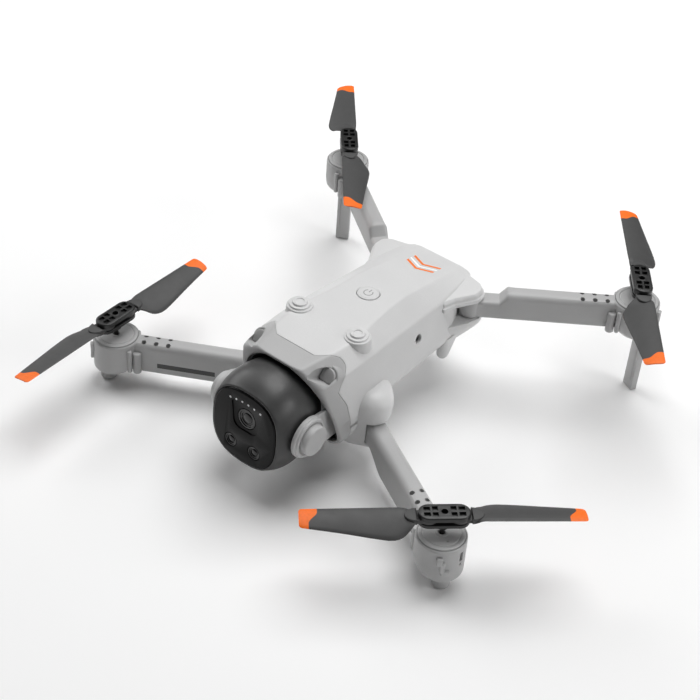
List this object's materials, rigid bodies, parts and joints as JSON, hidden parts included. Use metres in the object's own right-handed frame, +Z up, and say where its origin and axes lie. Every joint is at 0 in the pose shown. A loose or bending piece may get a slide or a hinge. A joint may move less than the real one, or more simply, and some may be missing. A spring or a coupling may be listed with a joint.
{
  "type": "quadcopter drone",
  "caption": "Folding quadcopter drone with hinged arms, folding-blade propellers, rear landing legs and a tilting nose camera.",
  "frame": {"origin": "on the ground under the middle of the outline, arms unfolded", "axes": "+Z up, -Y towards the nose and camera, +X towards the drone's left side"},
  "size_m": [0.3006, 0.3, 0.0739],
  "materials": {
    "shell": "light grey moulded plastic, satin",
    "bezel": "slightly darker grey moulded plastic, satin",
    "arm": "mid grey moulded plastic, satin",
    "yoke": "mid grey moulded plastic, satin",
    "charcoal": "charcoal moulded plastic, satin",
    "window": "dull grey sensor cover",
    "face": "near black, polished",
    "lens": "coated black lens glass",
    "hub": "black nylon",
    "blade": "dark grey nylon with orange painted tips",
    "board": "solder-masked circuit board",
    "battery": "wrapped battery pack",
    "steel": "turned steel"
  },
  "bodies": {
    "body": {"upper_shell": "shell", "lower_shell": "shell", "nose_bezel": "bezel", "nose_bulkhead": "charcoal", "circuit_board": "board", "battery_pack": "battery", "sensor_turret_left": "shell", "sensor_turret_right": "shell", "sensor_window_left": "window", "sensor_window_right": "window", "front_hinge_housing_left": "shell", "front_hinge_housing_right": "shell", "rear_hinge_bracket_left": "shell", "rear_hinge_bracket_right": "shell", "front_hinge_pin_left": "steel", "front_hinge_pin_right": "steel", "rear_hinge_pin_left": "steel", "rear_hinge_pin_right": "steel", "camera_yoke": "yoke", "yoke_cap_left": "yoke", "yoke_cap_right": "yoke"},
    "power_button": {"power_button": "shell"},
    "camera": {"camera_pod": "charcoal", "camera_face": "face", "main_lens": "lens", "lower_lens_left": "lens", "lower_lens_right": "lens"},
    "arm_front_left": {"arm_front_left": "arm", "motor_front_left": "steel", "motor_cap_front_left": "arm"},
    "propeller_front_left": {"hub_front_left": "hub", "hub_clamp_front_left": "hub"},
    "blade_a_front_left": {"blade_a_front_left": "blade"},
    "blade_b_front_left": {"blade_b_front_left": "blade"},
    "arm_front_right": {"arm_front_right": "arm", "motor_front_right": "steel", "motor_cap_front_right": "arm"},
    "propeller_front_right": {"hub_front_right": "hub", "hub_clamp_front_right": "hub"},
    "blade_a_front_right": {"blade_a_front_right": "blade"},
    "blade_b_front_right": {"blade_b_front_right": "blade"},
    "arm_rear_left": {"arm_rear_left": "arm", "motor_rear_left": "steel", "motor_cap_rear_left": "arm", "rear_leg_left": "arm"},
    "propeller_rear_left": {"hub_rear_left": "hub", "hub_clamp_rear_left": "hub"},
    "blade_a_rear_left": {"blade_a_rear_left": "blade"},
    "blade_b_rear_left": {"blade_b_rear_left": "blade"},
    "arm_rear_right": {"arm_rear_right": "arm", "motor_rear_right": "steel", "motor_cap_rear_right": "arm", "rear_leg_right": "arm"},
    "propeller_rear_right": {"hub_rear_right": "hub", "hub_clamp_rear_right": "hub"},
    "blade_a_rear_right": {"blade_a_rear_right": "blade"},
    "blade_b_rear_right": {"blade_b_rear_right": "blade"}
  },
  "joints": [
    {"name": "camera_tilt", "type": "hinge", "parent": "body", "child": "camera", "pos_m": [-0.0068, -0.084, 0.0385], "axis": [1, 0, 0], "range_deg": [-8, 90]},
    {"name": "power_button_press", "type": "slide", "parent": "body", "child": "power_button", "axis": [0, 0, -1], "range_m": [0, 0.0008], "stiffness_N_per_m": 400},
    {"name": "fold_front_left", "type": "hinge", "parent": "body", "child": "arm_front_left", "pos_m": [0.0242, -0.041, 0.0233], "axis": [0, 0, 1], "range_deg": [0, 105]},
    {"name": "spin_front_left", "type": "hinge", "parent": "arm_front_left", "child": "propeller_front_left", "pos_m": [0.09905, -0.08335, 0.0427], "axis": [0, 0, 1], "continuous": true},
    {"name": "blade_a_pivot_front_left", "type": "hinge", "parent": "propeller_front_left", "child": "blade_a_front_left", "pos_m": [0.10425, -0.07844, 0.03925], "axis": [0, 0, 1], "range_deg": [-69, 0]},
    {"name": "blade_b_pivot_front_left", "type": "hinge", "parent": "propeller_front_left", "child": "blade_b_front_left", "pos_m": [0.09386, -0.08826, 0.03925], "axis": [0, 0, 1], "range_deg": [-69, 0]},
    {"name": "fold_front_right", "type": "hinge", "parent": "body", "child": "arm_front_right", "pos_m": [-0.0378, -0.041, 0.0233], "axis": [0, 0, -1], "range_deg": [0, 105]},
    {"name": "spin_front_right", "type": "hinge", "parent": "arm_front_right", "child": "propeller_front_right", "pos_m": [-0.11265, -0.08335, 0.0427], "axis": [0, 0, 1], "continuous": true},
    {"name": "blade_a_pivot_front_right", "type": "hinge", "parent": "propeller_front_right", "child": "blade_a_front_right", "pos_m": [-0.11285, -0.0762, 0.03925], "axis": [0, 0, -1], "range_deg": [0, 74]},
    {"name": "blade_b_pivot_front_right", "type": "hinge", "parent": "propeller_front_right", "child": "blade_b_front_right", "pos_m": [-0.11245, -0.0905, 0.03925], "axis": [0, 0, -1], "range_deg": [0, 74]},
    {"name": "fold_rear_left", "type": "hinge", "parent": "body", "child": "arm_rear_left", "pos_m": [0.0215, 0.044, 0.0545], "axis": [0, 0, -1], "range_deg": [0, 105]},
    {"name": "spin_rear_left", "type": "hinge", "parent": "arm_rear_left", "child": "propeller_rear_left", "pos_m": [0.09063, 0.09516, 0.0739], "axis": [0, 0, 1], "continuous": true},
    {"name": "blade_a_pivot_rear_left", "type": "hinge", "parent": "propeller_rear_left", "child": "blade_a_rear_left", "pos_m": [0.08637, 0.10089, 0.07045], "axis": [0, 0, -1], "range_deg": [-71, 0]},
    {"name": "blade_b_pivot_rear_left", "type": "hinge", "parent": "propeller_rear_left", "child": "blade_b_rear_left", "pos_m": [0.09489, 0.08941, 0.07045], "axis": [0, 0, -1], "range_deg": [-71, 0]},
    {"name": "fold_rear_right", "type": "hinge", "parent": "body", "child": "arm_rear_right", "pos_m": [-0.0351, 0.044, 0.0545], "axis": [0, 0, 1], "range_deg": [0, 105]},
    {"name": "spin_rear_right", "type": "hinge", "parent": "arm_rear_right", "child": "propeller_rear_right", "pos_m": [-0.10423, 0.09516, 0.0739], "axis": [0, 0, 1], "continuous": true},
    {"name": "blade_a_pivot_rear_right", "type": "hinge", "parent": "propeller_rear_right", "child": "blade_a_rear_right", "pos_m": [-0.10891, 0.10056, 0.07045], "axis": [0, 0, 1], "range_deg": [0, 37]},
    {"name": "blade_b_pivot_rear_right", "type": "hinge", "parent": "propeller_rear_right", "child": "blade_b_rear_right", "pos_m": [-0.09955, 0.08975, 0.07045], "axis": [0, 0, 1], "range_deg": [0, 37]}
  ],
  "couplings": [
    {"joint": "blade_a_pivot_front_left", "follows": "fold_front_left", "ratio": -0.632},
    {"joint": "blade_b_pivot_front_left", "follows": "fold_front_left", "ratio": -0.632},
    {"joint": "blade_a_pivot_front_right", "follows": "fold_front_right", "ratio": 0.682},
    {"joint": "blade_b_pivot_front_right", "follows": "fold_front_right", "ratio": 0.682},
    {"joint": "blade_a_pivot_rear_left", "follows": "fold_rear_left", "ratio": -0.651},
    {"joint": "blade_b_pivot_rear_left", "follows": "fold_rear_left", "ratio": -0.651},
    {"joint": "blade_a_pivot_rear_right", "follows": "fold_rear_right", "ratio": 0.325},
    {"joint": "blade_b_pivot_rear_right", "follows": "fold_rear_right", "ratio": 0.325}
  ]
}
